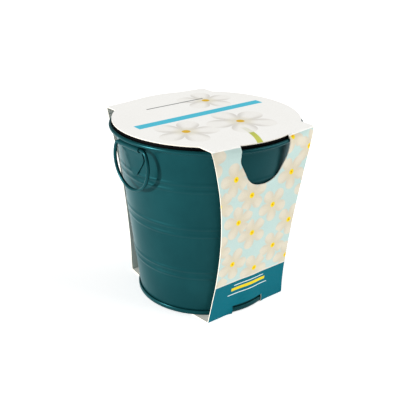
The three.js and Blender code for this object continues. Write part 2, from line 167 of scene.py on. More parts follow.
# %% Section of (radius, z) points turned about the upright axis
def turned(profile, angles, closed=False, shift=None):
    points, rings, faces = [], [], []
    count = len(angles)
    for row, (r, z) in enumerate(profile):
        if r < 1e-6:
            rings.append([len(points)] * count)
            points.append((0, 0, z))
            continue
        rings.append([len(points) + k for k in range(count)])
        for a in angles:
            dr, dz = shift(a, row) if shift else (0, 0)
            points.append(((r + dr) * math.cos(a), (r + dr) * math.sin(a), z + dz))
    for i in range(len(rings) if closed else len(rings) - 1):
        low, high = rings[i], rings[(i + 1) % len(rings)]
        for k in range(count):
            n = (k + 1) % count
            corners = [low[k], low[n], high[n], high[k]]
            faces.append(list(dict.fromkeys(corners)))
    return points, faces


def even_turn(count):
    return [2 * math.pi * k / count for k in range(count)]


# %% Thin bent sheet: outer(i, j) and inner(i, j) give the two faces of a grid
def bent_sheet(columns, rows, outer, inner):
    grid = [(i, j) for j in range(rows + 1) for i in range(columns + 1)]
    points = [face(i, j) for face in (outer, inner) for i, j in grid]

    def at(face, i, j):
        return (face * (rows + 1) + j) * (columns + 1) + i

    faces = []
    for j in range(rows):
        for i in range(columns):
            for face in (0, 1):
                faces.append([at(face, i, j), at(face, i + 1, j),
                              at(face, i + 1, j + 1), at(face, i, j + 1)])
        for i in (0, columns):
            faces.append([at(0, i, j), at(0, i, j + 1), at(1, i, j + 1), at(1, i, j)])
    for i in range(columns):
        for j in (0, rows):
            faces.append([at(0, i, j), at(1, i, j), at(1, i + 1, j), at(0, i + 1, j)])
    return points, faces


# %% [markdown]
# ## A short way to write materials
# Each finish is a small network of nodes. Writing every link by hand takes many lines, so this
# class places a node, sets its sockets and returns what comes out. A number that is the same all
# over a surface goes straight on the shader's own socket, where an exporter can read it.

# %% Material writer
class Finish:
    def __init__(self, name, **sockets):
        self.material = bpy.data.materials.new(name)
        self.material.use_nodes = True
        self.tree = self.material.node_tree
        self.shader = self.tree.nodes["Principled BSDF"]
        self.put(self.shader, sockets)
        self.place = self.node("TexCoord").outputs["Object"]

    def put(self, node, sockets):
        for key, value in sockets.items():
            socket = node.inputs[key.replace("_", " ") if isinstance(key, str) else key]
            if isinstance(value, bpy.types.NodeSocket):
                self.tree.links.new(value, socket)
            else:
                socket.default_value = value

    def node(self, kind, sockets=None, **settings):
        made = self.tree.nodes.new("ShaderNode" + kind)
        for key, value in settings.items():
            setattr(made, key, value)
        self.put(made, sockets or {})
        return made

    def math(self, operation, a, b=0.5):
        return self.node("Math", {0: a, 1: b}, operation=operation).outputs[0]

    def vector(self, operation, a, b=(0, 0, 0)):
        made = self.node("VectorMath", {0: a, 1: b}, operation=operation)
        return made.outputs["Value" if operation == "LENGTH" else "Vector"]

    def parts(self, vector):
        return self.node("SeparateXYZ", {0: vector}).outputs

    def ramp(self, value, low, high, start=0.0, end=1.0):
        sockets = {0: value, 1: low, 2: high, 3: start, 4: end}
        return self.node("MapRange", sockets, interpolation_type="SMOOTHSTEP").outputs[0]

    def mix(self, share, a, b):
        return self.node("Mix", {0: share, 6: a, 7: b}, data_type="RGBA").outputs[2]

    def noise(self, place, scale, detail=3.0, roughness=0.5):
        sockets = {"Vector": place, "Scale": scale, "Detail": detail, "Roughness": roughness}
        return self.node("TexNoise", sockets).outputs[0]

    def stretched(self, x, y, z):
        return self.vector("MULTIPLY", self.place, (x, y, z))

    def bump(self, height, strength, distance):
        sockets = {"Height": height, "Strength": strength, "Distance": distance * MM}
        self.put(self.shader, {"Normal": self.node("Bump", sockets).outputs[0]})


def colour(red, green, blue):
    """Screen colour from 0 to 255 as the linear colour that a shader takes."""
    def linear(c):
        c /= 255
        return c / 12.92 if c <= 0.04045 else ((c + 0.055) / 1.055) ** 2.4

    return (linear(red), linear(green), linear(blue), 1)


# %% [markdown]
# ## Painted steel
# The pail is pressed from thin sheet and sprayed with teal enamel. Such paint is smooth but not a
# mirror: it has a fine orange peel, and here and there a softer patch where hands and packing have
# dulled it. A noise drives the colour a little, another the roughness, and a fine one the bump.

# %% Pail paint
def pail_paint():
    f = Finish("pail_paint_enamel", Metallic=0.42, Specular_IOR_Level=0.12,
               Specular_Tint=(0.6, 0.9, 0.94, 1))
    cloud = f.noise(f.place, 26, 4)
    tint = f.mix(f.ramp(cloud, 0.35, 0.68), colour(9, 55, 59), colour(13, 61, 65))
    dulled = f.ramp(f.noise(f.stretched(1, 1, 0.35), 34, 5, 0.6), 0.5, 0.78)
    coat = f.mix(f.math("MULTIPLY", dulled, 0.3), tint, colour(18, 67, 71))
    f.put(f.shader, {"Base_Color": coat})
    f.put(f.shader, {"Roughness": f.math("ADD", f.math("MULTIPLY", dulled, 0.1), 0.3)})
    f.bump(f.noise(f.place, 700, 2), 0.05, 0.08)
    return f.material


PAINT = pail_paint()
print("paint nodes", len(PAINT.node_tree.nodes))

# %% [markdown]
# ## The pail's wall
# A pail like this is one sheet: it widens evenly from foot to rim, has beads pressed round it in
# pairs to make it stiff, and ends in a rolled rim. The section is written as a line of points up
# the outside, round the roll and down the inside, and turned about the axis. A lathe-like mesh
# gives cleaner highlights than a cylinder with cuts, because each bead is real shape. The sheet's
# ends meet in a narrow lapped seam, which lies under the ear on the far side.

# %% Pail sizes, as in the CAD source
PAIL_TURN = Matrix.Rotation(math.radians(2.5), 4, "Z")
STEEL = 0.7
WALL_R0, WALL_SLOPE = 53.93, 0.1158
WALL_FOOT_Z, NECK_Z = 1.5, 138.4
ROLL_X, ROLL_Z, ROLL_R = 73.358, 141.1, 1.55
BEAD_Z = (35.1, 40.9, 72.4, 78.9, 109.5, 115.0)
BEAD_RISE, BEAD_HALF = 0.42, 2.1
FOOT_R, FOOT_TOP, BASE_Z, STAND_Z = 55.9, 4.6, 6, 0.65
SEAM_HALF, SEAM_RISE, SEAM_TOP = 2.2, 0.3, 137


def wall_r(z):
    return WALL_R0 + WALL_SLOPE * z


def bead(z):
    near = [(z - at) / BEAD_HALF for at in BEAD_Z if abs(z - at) < BEAD_HALF]
    return sum(BEAD_RISE * (1 - share ** 2) ** 2 for share in near)


# %% Wall with beads, roll and seam
def wall_levels():
    levels = {WALL_FOOT_Z, NECK_Z}
    levels.update(range(4, 138, 6))
    for at in BEAD_Z:
        levels.update(round(at + BEAD_HALF * k / 5, 2) for k in range(-6, 7))
    return sorted(levels)


def seam_angles(count=160):
    near = [math.radians(0.4 * k) for k in range(-8, 9)]
    far = [a for a in even_turn(count) if min(a, 2 * math.pi - a) > math.radians(4)]
    return near + far


def pail_wall():
    levels = wall_levels()
    outside = [(wall_r(z) + bead(z), z) for z in levels]
    roll = arc(ROLL_X, ROLL_Z, ROLL_R - STEEL, 195, -105, 18)
    roll += arc(ROLL_X, ROLL_Z, ROLL_R, -105, 180, 30)
    inside = [(wall_r(z) - STEEL + bead(z), z) for z in reversed(levels)]
    last_outside = len(outside) - 1

    def seam(a, row):
        if row > last_outside:
            return 0, 0
        across = math.atan2(math.sin(a), math.cos(a)) * outside[row][0]
        edge = 1 - smooth(abs(across), SEAM_HALF - 0.7, SEAM_HALF)
        return SEAM_RISE * edge * (1 - smooth(outside[row][1], SEAM_TOP - 9, SEAM_TOP)), 0

    return turned(outside + roll + inside, seam_angles(), True, seam)


wall = mesh_piece("pail_wall_sheet", *pail_wall(), PAIL_TURN, hard=50)
finish_piece(wall, "kit", "pail_paint", [PAINT], "pail_wall")

# %% [markdown]
# ## The foot
# The bottom disc is pressed upward and its edge is seamed round the wall, which leaves a rounded
# band round the foot. A short section with softened corners is enough: the light line along the
# band's top and the dark one under it come from the rounding.

# %% Foot ring and bottom disc
def pail_foot():
    inside, gap = wall_r(WALL_FOOT_Z) - STEEL - 0.25, wall_r(FOOT_TOP) + 0.2
    section = [(0, BASE_Z), (inside - 3, BASE_Z), (inside - STEEL - 0.6, BASE_Z - 0.7),
               (inside - STEEL, STAND_Z + 0.9), (inside - STEEL + 0.4, STAND_Z + 0.1),
               (inside, STAND_Z), (FOOT_R - 0.7, STAND_Z),
               (FOOT_R - 0.15, STAND_Z + 0.5), (FOOT_R, STAND_Z + 1.4), (FOOT_R, FOOT_TOP - 1.1),
               (FOOT_R - 0.3, FOOT_TOP - 0.15), (gap, FOOT_TOP), (gap, WALL_FOOT_Z - 0.15),
               (inside, WALL_FOOT_Z - 0.15), (inside, BASE_Z + STEEL), (0, BASE_Z + STEEL)]
    return turned(rounded(section, 0.4), even_turn(128))


foot = mesh_piece("pail_foot_ring", *pail_foot(), PAIL_TURN, hard=60)
finish_piece(foot, "kit", "pail_paint", [PAINT], "pail_base")

# %% [markdown]
# ## The ears
# Each ear is a shield-shaped strap, laid flat on the wall and curled over the ring's straight bar.
# The strap is one sheet, so it is made as one grid: its rows run up the shield and go on round the
# curl. The curl stops short of a full turn, and that open slit is what tells the eye it is folded.

# %% Ear sizes, as in the CAD source
PIVOT_X, PIVOT_Z = 72.15, 137.05
WIRE_R, TUBE_R, BORE_R, TUBE_HALF = 1.3, 2.15, 1.55, 12.2
EAR_T, EAR_GAP = 0.8, 0.15
EAR_HALF = [(113.6, 0.8), (114.4, 2), (117.6, 4.5), (120.6, 6.7), (124, 9.3), (127, 11), (130, 12),
            (133.5, TUBE_HALF), (PIVOT_Z, TUBE_HALF)]
SHIELD_ROWS, CURL_ROWS, CURL_END = 34, 26, -128
OVER_BEAD_Z, OFF_WALL_Z = (117, 120), (127, 135.5)


def ear_shape():
    columns, foot_z = 26, EAR_HALF[0][0]

    def face(outside):
        def point(i, j):
            share = 2 * i / columns - 1
            if j <= SHIELD_ROWS:
                z = foot_z + (PIVOT_Z - foot_z) * j / SHIELD_ROWS
                y = curve(EAR_HALF, z) * share
                lift = EAR_T if outside else 0
                over_bead = BEAD_RISE * (1 - smooth(z, *OVER_BEAD_Z))
                on_wall = math.sqrt((wall_r(z) + EAR_GAP + over_bead + lift) ** 2 - y * y)
                upright_x = PIVOT_X - (BORE_R if outside else TUBE_R)
                return on_wall + (upright_x - on_wall) * smooth(z, *OFF_WALL_Z), y, z
            a = math.radians(180 + (CURL_END - 180) * (j - SHIELD_ROWS) / CURL_ROWS)
            radius = BORE_R if outside else TUBE_R
            return PIVOT_X + radius * math.cos(a), TUBE_HALF * share, PIVOT_Z + radius * math.sin(a)

        return point

    return bent_sheet(columns, SHIELD_ROWS + CURL_ROWS, face(True), face(False))


def soften(made, width, segments=2, angle=45):
    edge = made.modifiers.new("edge", "BEVEL")
    edge.width, edge.segments = width * MM, segments
    edge.limit_method, edge.angle_limit = "ANGLE", math.radians(angle)
    edge.harden_normals = True


for side, turn in (("left", math.pi), ("right", 0)):
    round_to = PAIL_TURN @ Matrix.Rotation(turn, 4, "Z")
    ear = mesh_piece(f"{side}_ear_strap", *ear_shape(), round_to, hard=50)
    soften(ear, 0.14)
    finish_piece(ear, "kit", "pail_paint", [PAINT], f"ear_{side}")

# %% [markdown]
# ## The ring handles
# Each ring is a bent wire: a straight bar that turns in the ear, two rounded shoulders, and a wide
# bow below. The path is written from the same sizes as the CAD, and a round section is swept along
# it. The ring's own origin lies on the bar, so its texture goes round with it when it swings.

# %% Ring path and sweep
BAR_HALF, RING_A, RING_B, RING_DROP = 13.7, 20.3, 21.1, 12
RING_JOIN, RING_SLIDE = 6, 1


def ring_path():
    lean = math.asin((RING_DROP - RING_JOIN) / RING_B)
    start = Vector((BAR_HALF, 0))
    end = Vector((RING_A * math.cos(lean), RING_B * math.sin(lean) - RING_DROP))
    leave, arrive = start + Vector((3.5, 0)), end + Vector((-1.1, 3.8))
    half = [(BAR_HALF * k / 6, 0) for k in range(7)]
    for k in range(1, 13):
        s = k / 12
        half.append(tuple(start * (1 - s) ** 3 + leave * 3 * s * (1 - s) ** 2
                          + arrive * 3 * s * s * (1 - s) + end * s ** 3))
    for k in range(1, 33):
        a = lean - (lean + math.pi / 2) * k / 32
        half.append((RING_A * math.cos(a), RING_B * math.sin(a) - RING_DROP))
    return half + [(-y, z) for y, z in reversed(half[1:-1])]


def ring_shape(sides=20):
    path, points, faces = ring_path(), [], []
    count = len(path)
    for k, (y, z) in enumerate(path):
        along = Vector(path[(k + 1) % count]) - Vector(path[k - 1])
        out = Vector((-along.y, along.x)).normalized() * WIRE_R
        for s in range(sides):
            q = 2 * math.pi * s / sides
            points.append((WIRE_R * math.sin(q), y + out.x * math.cos(q), z + out.y * math.cos(q)))
    for k in range(count):
        for s in range(sides):
            n, t = (k + 1) % count, (s + 1) % sides
            faces.append([k * sides + s, n * sides + s, n * sides + t, k * sides + t])
    return points, faces


for side, turn in (("left", math.pi), ("right", 0)):
    pivot = Matrix.Translation(Vector((PIVOT_X, RING_SLIDE, PIVOT_Z)) * MM)
    hung = PAIL_TURN @ Matrix.Rotation(turn, 4, "Z") @ pivot
    ring = mesh_piece(f"{side}_ring_wire", *ring_shape(), place=hung)
    finish_piece(ring, f"handle_{side}", "pail_paint", [PAINT], f"ring_{side}")

# %% [markdown]
# ## The black liner pot
# A thin plastic pot hangs in the pail by its flange, and only the flange's turned-down lip shows,
# as a dark line between rim and card. Moulded plastic of this kind is matt with a very fine grain,
# so the finish is nearly black with a rough sheen, and a fine noise breaks up the highlight.

# %% Liner finish and shape
def liner_plastic():
    f = Finish("liner_plastic_matt", Specular_IOR_Level=0.03)
    grain = f.noise(f.place, 1400, 2)
    black = f.mix(f.noise(f.place, 90, 3), colour(1, 1, 2), colour(5, 5, 6))
    f.put(f.shader, {"Base_Color": black})
    f.put(f.shader, {"Roughness": f.ramp(grain, 0.3, 0.7, 0.5, 0.62)})
    f.bump(grain, 0.12, 0.03)
    return f.material


FLANGE_R, FLANGE_Z0, FLANGE_Z1 = 72, 141.85, 145.05
LINER_TOP_R, LINER_FOOT_R, LINER_FLOOR, LINER_T = 68.2, 50.5, 8, 1


def liner_pot():
    inner_top, inner_foot = LINER_TOP_R - LINER_T, LINER_FOOT_R - LINER_T
    section = [(0, LINER_FLOOR), (LINER_FOOT_R - 2, LINER_FLOOR), (LINER_FOOT_R, LINER_FLOOR + 2),
               (LINER_TOP_R, FLANGE_Z0), (LINER_TOP_R, FLANGE_Z1 - LINER_T),
               (FLANGE_R - LINER_T, FLANGE_Z1 - LINER_T), (FLANGE_R - LINER_T, FLANGE_Z0),
               (FLANGE_R, FLANGE_Z0), (FLANGE_R, FLANGE_Z1), (inner_top, FLANGE_Z1),
               (inner_top, FLANGE_Z0), (inner_foot, LINER_FLOOR + 2.4),
               (inner_foot - 1.3, LINER_FLOOR + LINER_T), (0, LINER_FLOOR + LINER_T)]
    return turned(rounded(section, 0.35), even_turn(128))


liner = mesh_piece("liner_pot_moulding", *liner_pot(), PAIL_TURN, hard=60)
finish_piece(liner, "kit", "liner_plastic", [liner_plastic()], "liner_pot")

# %% [markdown]
# ## Growing medium
# The pot is filled with coir and bark: brown, crumbly and full of short fibres. A smooth disc
# would look like clay, so the top is a fine round grid pushed up and down by noise, and chips and
# fibres of many sizes lie on it. The seed of the random numbers is fixed, so each run is the same.

# %% Medium finish
def medium_finish():
    f = Finish("growing_medium_coir", Specular_IOR_Level=0.15, Roughness=0.95)
    crumb = f.node("TexVoronoi", {"Vector": f.place, "Scale": 520.0})
    dark = f.mix(f.noise(f.place, 240, 5, 0.7), colour(46, 31, 20), colour(92, 66, 42))
    grain = crumb.outputs["Distance"]
    f.put(f.shader, {"Base_Color": f.mix(f.ramp(grain, 0.2, 0.9), dark, colour(128, 96, 62))})
    f.bump(grain, 0.8, 0.8)
    return f.material


MEDIUM = medium_finish()
SOIL_Z, SOIL_FOOT = 101, LINER_FLOOR + 1.35

# %% Medium body: a round grid with a crumbly top
def soil_height(x, y):
    place = Vector((x, y, 7)) * 0.09
    return (SOIL_Z + 0.2 + 1.1 * noise.noise(place) + 0.5 * noise.noise(place * 3.1)
            + 0.35 * noise.noise(place * 8.3))


def soil_inner_r(z):
    low = LINER_FLOOR + 2.4
    widening = (LINER_TOP_R - LINER_FOOT_R) * (z - low) / (FLANGE_Z0 - low)
    return LINER_FOOT_R - LINER_T - 0.35 + widening


def medium_body():
    edge, rings = soil_inner_r(SOIL_Z - 1.5), 44
    top = [(edge * (1 - k / rings) ** 0.9, SOIL_Z) for k in range(1, rings)]
    section = [(0, SOIL_FOOT), (LINER_FOOT_R - 3, SOIL_FOOT),
               (soil_inner_r(LINER_FLOOR + 3.4), LINER_FLOOR + 3.4), (edge, SOIL_Z - 1.5)]
    last_side = len(section) - 1
    section += top + [(0, SOIL_Z + 0.4)]

    def crumbs(a, row):
        r, z = section[row]
        if row <= last_side:
            return 0, 0
        return 0, soil_height(r * math.cos(a), r * math.sin(a)) - z

    return turned(section, even_turn(120), False, crumbs)


medium = mesh_piece("growing_medium_fill", *medium_body(), PAIL_TURN, hard=80)
finish_piece(medium, "kit", "growing_medium", [MEDIUM], "growing_medium")

# %% Bark chips and coir fibres that lie on the medium
BULB_RING = 27
BULBS = (("bulb_a", 80, 73, 1.0, 0), ("bulb_b", 203, 74, 0.96, -6), ("bulb_c", 318, 72, 0.98, 5))
CLEAR_R, LITTER_R = 23, 61
CHIP_CORNERS = ((-1, -0.7, -1), (1, -1, -1), (0.9, 0.8, -1), (-0.8, 1, -1),
                (-0.8, -0.6, 1), (0.8, -0.7, 0.8), (0.7, 0.6, 1), (-0.7, 0.7, 0.7))
CHIP_SIDES = ((3, 2, 1, 0), (4, 5, 6, 7), (0, 1, 5, 4), (1, 2, 6, 5), (2, 3, 7, 6), (3, 0, 4, 7))


def bulb_spot(angle):
    a = math.radians(angle)
    return BULB_RING * math.cos(a), BULB_RING * math.sin(a)


def clear_of_bulbs(x, y):
    return all(math.dist((x, y), bulb_spot(angle)) > CLEAR_R for _, angle, *_ in BULBS)


def chips(count=420, seed=11):
    dice = random.Random(seed)
    points, faces = [], []
    while count:
        r, a = LITTER_R * math.sqrt(dice.random()), dice.uniform(0, 2 * math.pi)
        x, y = r * math.cos(a), r * math.sin(a)
        if not clear_of_bulbs(x, y):
            continue
        count -= 1
        long, wide, thick = dice.uniform(0.9, 3.6), dice.uniform(0.25, 1.3), dice.uniform(0.2, 0.7)
        turn = Matrix.Rotation(dice.uniform(0, math.pi), 3, "Z")
        turn = turn @ Matrix.Rotation(dice.uniform(-0.5, 0.5), 3, "Y")
        start = len(points)
        for cx, cy, cz in CHIP_CORNERS:
            corner = turn @ Vector((cx * long, cy * wide, cz * thick))
            points.append(corner + Vector((x, y, soil_height(x, y) + 0.15)))
        faces += [[start + k for k in quad] for quad in CHIP_SIDES]
    return points, faces


litter = mesh_piece("medium_chips", *chips(), PAIL_TURN, hard=30)
finish_piece(litter, "kit", "growing_medium", [MEDIUM])

# %% [markdown]
# ## The bulbs
# A narcissus bulb is a swollen body on a flat plate of old roots, wrapped in thin brown skins that
# crack into long strips and end in a dry neck. The shape is turned from the CAD's own section, then
# pushed in and out by ridges that run from plate to neck, with the neck drawn into a dry twist. The
# finish follows the same lines: streaks around the axis come from noise that is stretched upward.

# %% Bulb finish
def bulb_tunic():
    f = Finish("bulb_tunic_papery", Specular_IOR_Level=0.35, Sheen_Weight=0.15)
    x, y, z = f.parts(f.place)
    around = f.math("ARCTAN2", y, x)
    line = f.node("CombineXYZ", {0: around, 1: f.math("MULTIPLY", z, 9.0)}).outputs[0]
    streak = f.noise(line, 11, 5, 0.65)
    skin = f.mix(f.ramp(streak, 0.32, 0.7), colour(92, 52, 26), colour(176, 122, 70))
    worn = f.ramp(f.noise(f.place, 70, 4, 0.6), 0.56, 0.66)
    skin = f.mix(f.math("MULTIPLY", worn, 0.65), skin, colour(214, 178, 126))
    f.put(f.shader, {"Base_Color": skin, "Roughness": f.ramp(streak, 0.3, 0.7, 0.42, 0.68)})
    f.bump(streak, 0.5, 0.5)
    return f.material


TUNIC = bulb_tunic()
BULB_ROWS = [(0, 6), (1.2, 8.5), (3.2, 9.5), (7, 14.5), (12.5, 18.6), (19, 20.8), (26, 20.8),
             (33, 18.6), (39.5, 14.4), (45, 9.8), (50, 6.8), (55, 5.2), (60, 4.3), (63.2, 2.6)]
BULB_TIP = 64

# %% Bulb bodies with ridged skins and a dry neck
def bulb_shape(size, seed):
    steps = 64
    levels = [BULB_ROWS[-1][0] * k / steps for k in range(steps + 1)]
    skin = [(curve(BULB_ROWS, z) * size, z * size) for z in levels]
    section = [(0, 0.4 * size)] + skin + [(0, BULB_TIP * size)]

    def ridges(a, row):
        z = section[row][1] / size
        place = Vector((math.cos(a) * 2.2, math.sin(a) * 2.2, z * 0.02 + seed))
        body = 0.02 * math.sin(5 * a + z * 0.03) + 0.012 * math.sin(2 * a + z * 0.1)
        fine = 0.014 * noise.noise(place) + 0.012 * noise.noise(place * 3.4)
        crease = 0.05 * smooth(z, 44, 58) * math.sin(9 * a + z * 0.12 + seed)
        return section[row][0] * (body + fine + crease), 0

    return turned(section, even_turn(96), False, ridges)


for number, (name, angle, foot_z, size, lean) in enumerate(BULBS):
    spot = Vector((*bulb_spot(angle), foot_z)) * MM
    planted = PAIL_TURN @ Matrix.Translation(spot) @ Matrix.Rotation(math.radians(lean), 4, "Y")
    bulb = mesh_piece(f"{name}_skins", *bulb_shape(size, 3 * number), place=planted, hard=60)
    finish_piece(bulb, "kit", "bulb_tunic", [TUNIC], name)

# %% [markdown]
# ## The card sleeve
# The sleeve is one folded piece of white-faced board: bottom, front, top and back, with a thumb
# notch in each broad side and a slot at each foot. Real board is stiff, so it bows evenly where the
# pail pushes it out, and its cut edges show as a pale line. The flat outline is cut out first, with
# all its curves, then sliced into a grid, and each grid point is set on the bowed surface. Only
# then is the sheet given its thickness. This keeps notch and slot crisp, which a cut through a
# finished shell would not.

# %% Sleeve sizes, as in the CAD source
CARD, SLEEVE_H = 0.6, 145.7
TOP_HALF_X, DISC_R = 48.7, 72.5
PANEL_HALF = [(0, 38.9), (16.6, 37), (38.4, 35.45), (52.8, 35.25), (67, 35.6), (88, 37.3),
              (108, 40.15), (127, 44.1), (SLEEVE_H, TOP_HALF_X)]
PANEL_BOW = [(0, 53.5), (16.6, 55.7), (38.4, 59.2), (52.8, 61.3), (67, 63.2), (88, 65.6),
             (108, 67.2), (127, 67.8), (137, 67.8), (SLEEVE_H, 66.9)]
BACK_SWELL = [(0, 0), (7.5, 1.2), (18, 1.9), (30, 2.5), (40, 3.1), (66, 3.4), (90, 3.1), (115, 2),
              (135, 0.6), (SLEEVE_H, 0)]
DRAPE_R = [(0, 56.65), (4.7, 56.65), (7, 55.65), (12, 56.15), (20, 57.05), (30, 58.2),
           (35.1, 59.2), (40.9, 59.9), (46, 60.1), (60, 61.7), (72.4, 63.6), (78.9, 64.35),
           (90, 65.2), (104, 66.9), (109.5, 67.9), (115, 68.6), (126, 72), (136, 75),
           (139, 75.85), (142.2, 75.85), (143.4, 75), (SLEEVE_H, 73)]
NOTCH = [(-25, SLEEVE_H), (-25.6, 142), (-25.9, 139), (-25.6, 136), (-24.7, 132.9),
         (-22.7, 129.4), (-20.5, 125.8), (-18.2, 122.2), (-16, 118.6), (-13.8, 116.1),
         (-11.2, 114), (-8.4, 112.7), (-5.4, 112), (-1, 111.7), (3.4, 112), (7.4, 113),
         (10.6, 114.5), (13.2, 116.5), (15, 118.8), (16.2, 121.4), (17.3, 124.6), (18.5, 127.8),
         (19.1, 130.6), (19.1, 133.5), (18.5, 137), (18.2, 141), (18.4, SLEEVE_H)]
NOTCH_LEFT, NOTCH_RIGHT = -25.9, 19.1
SLOT_HALF, SLOT_TOP, SLOT_IN = 15.2, 7, 50.5
FLARE, FLARE_Y = 1.9, 35
DRAPE_BLEND = 0.4
CELL, CELLS_OUT = 2.5, 30
FOLD_R = 0.45


def panel_y(x, z, back=False):
    bow, r = curve(PANEL_BOW, z) + back * curve(BACK_SWELL, z), curve(DRAPE_R, z)

    def pushed(at):
        out = math.sqrt(r * r - at * at)
        return 0.5 * (bow + out + math.hypot(bow - out, DRAPE_BLEND))

    side, inner = (-1, NOTCH_LEFT) if x < 0 else (1, NOTCH_RIGHT)
    share = (x - inner) / (side * curve(PANEL_HALF, z) - inner)
    if share <= 0:
        return pushed(x)
    return max(pushed(x), pushed(inner) + (bow - pushed(inner)) * min(1, share))


# %% Flat outlines of the panels
def notch_line(steps=3):
    line = []
    for k in range(len(NOTCH) - 1):
        p = [Vector(NOTCH[min(max(k + d, 0), len(NOTCH) - 1)]) for d in (-1, 0, 1, 2)]
        for s in (i / steps for i in range(steps)):
            line.append(tuple(0.5 * (2 * p[1] + (p[2] - p[0]) * s
                                     + (2 * p[0] - 5 * p[1] + 4 * p[2] - p[3]) * s * s
                                     + (3 * p[1] - p[0] - 3 * p[2] + p[3]) * s ** 3)))
    return line + [NOTCH[-1]]


def broad_outline():
    heights = [SLEEVE_H * k / 90 for k in range(91)]
    side = [(curve(PANEL_HALF, z), z) for z in heights]
    slot = [(SLOT_HALF, 0), (SLOT_HALF, SLOT_TOP), (-SLOT_HALF, SLOT_TOP), (-SLOT_HALF, 0)]
    return [(-x, z) for x, z in side] + notch_line() + side[::-1] + slot


def spaced(start, end, steps):
    return [start + (end - start) * k / steps for k in range(steps + 1)]


def fold_points(start, end, z):
    lines = [k * CELL for k in range(-CELLS_OUT, CELLS_OUT + 1)]
    inside = [x for x in lines if start + 1e-6 < x < end - 1e-6]
    return [(x, -panel_y(x, z)) for x in [start, *inside, end]]


def both(half):
    return half + [(-x, -y) for x, y in half]


def top_outline():
    left, rim = NOTCH[0][0], NOTCH[-1][0]
    tongue = [(x, -math.sqrt(DISC_R ** 2 - x * x)) for x in spaced(left, rim, 24)]
    turn = math.acos(TOP_HALF_X / DISC_R)
    disc = [(DISC_R * math.cos(a), DISC_R * math.sin(a)) for a in spaced(-turn, turn, 48)]
    before, after = fold_points(-TOP_HALF_X, left, SLEEVE_H), fold_points(rim, TOP_HALF_X, SLEEVE_H)
    return both(before + tongue + after + disc)


def bottom_outline():
    half = PANEL_HALF[0][1]
    slot = [(-SLOT_HALF, -SLOT_IN), (SLOT_HALF, -SLOT_IN)]
    side = [(half + FLARE, -FLARE_Y), (half + FLARE, FLARE_Y)]
    return both(fold_points(-half, -SLOT_HALF, 0) + slot + fold_points(SLOT_HALF, half, 0) + side)


# %% Slice an outline into a grid and set it in space
def sliced(outline, levels):
    shape = bmesh.new()
    shape.faces.new([shape.verts.new((x, y, 0)) for x, y in outline])
    cuts = [((k * CELL, 0, 0), (1, 0, 0)) for k in range(-CELLS_OUT, CELLS_OUT + 1)]
    cuts += [((0, z, 0), (0, 1, 0)) for z in levels]
    for point, across in cuts:
        everything = shape.verts[:] + shape.edges[:] + shape.faces[:]
        bmesh.ops.bisect_plane(shape, geom=everything, dist=1e-4, plane_co=point, plane_no=across)
    return shape


def add_panel(sleeve, outline, levels, setter, facing, material):
    shape = sliced(outline, levels)
    for vert in shape.verts:
        vert.co = Vector(setter(vert.co.x, vert.co.y)) * MM
    shape.normal_update()
    for face in shape.faces:
        face.material_index = material
        if face.normal.dot(Vector(facing)) < 0:
            face.normal_flip()
    scratch = bpy.data.meshes.new("scratch")
    shape.to_mesh(scratch)
    shape.free()
    sleeve.from_mesh(scratch)
    bpy.data.meshes.remove(scratch)


PRINT_SIDE, PRINT_TOP, PLAIN_UNDER = 0, 1, 2
levels = [k * CELL for k in range(1, 54)] + [136.5, 138, 139, 140, 141, 142, 143, 144, 144.8]
sleeve = bmesh.new()
add_panel(sleeve, broad_outline(), levels,
          lambda x, z: (x, -panel_y(x, z), z), (0, -1, 0), PRINT_SIDE)
add_panel(sleeve, broad_outline(), levels,
          lambda x, z: (-x, panel_y(x, z, True), z), (0, 1, 0), PRINT_SIDE)
add_panel(sleeve, top_outline(), [], lambda x, y: (x, y, SLEEVE_H), (0, 0, 1), PRINT_TOP)
add_panel(sleeve, bottom_outline(), [], lambda x, y: (x, y, 0), (0, 0, -1), PLAIN_UNDER)
bmesh.ops.remove_doubles(sleeve, verts=sleeve.verts, dist=0.02 * MM)
folds = [e for e in sleeve.edges if len(e.link_faces) == 2 and e.calc_face_angle(0) > 0.9]
print("fold edges", len(folds), "open edges", sum(len(e.link_faces) == 1 for e in sleeve.edges))
bmesh.ops.bevel(sleeve, geom=folds, offset=FOLD_R * MM, segments=3, affect="EDGES",
                clamp_overlap=True)
sheet_mesh = bpy.data.meshes.new("sleeve_sheet")
sleeve.to_mesh(sheet_mesh)
sleeve.free()

# %% [markdown]
# ## Print and board
# Outside, the board is white and printed: a pale teal ground with cream blossoms, a teal band at
# the foot, and a light top with a turquoise stripe. The print here is a plain design of its own:
# simple five-petal blossoms in a half-drop repeat. Cells of a Voronoi texture give each blossom its
# middle, and the petals' edge is a wave around that middle, so one small network draws them all.
# Inside, the board is uncoated and a little grey, and its cut edge is cream with fine layers.

# %% Masks: a soft-edged line, a bar, and a blossom
def soft_line(f, value, half, edge):
    return f.ramp(f.math("ABSOLUTE", value, 0), half + edge, half - edge)


def bar(f, x, y, middle, half_x, half_y, edge=0.15):
    across = soft_line(f, f.math("SUBTRACT", x, middle[0]), half_x, edge)
    up_down = soft_line(f, f.math("SUBTRACT", y, middle[1]), half_y, edge)
    return f.math("MULTIPLY", across, up_down)


def blossom(f, place, size, turn, sharp=0.5, petals=5):
    """Mask of the petals, distance from the middle, and nearness to a petal's own line."""
    x, y, _ = f.parts(place)
    far = f.vector("LENGTH", place)
    angle = f.math("ADD", f.math("ARCTAN2", y, x), turn)
    wave = f.math("ABSOLUTE", f.math("COSINE", f.math("MULTIPLY", angle, petals / 2), 0))
    reach = f.math("MULTIPLY", f.math("POWER", wave, 0.6), 0.58)
    edge = f.math("MULTIPLY", f.math("ADD", reach, 0.42), size)
    mask = f.ramp(f.math("SUBTRACT", edge, far), -sharp, sharp)
    return mask, far, wave


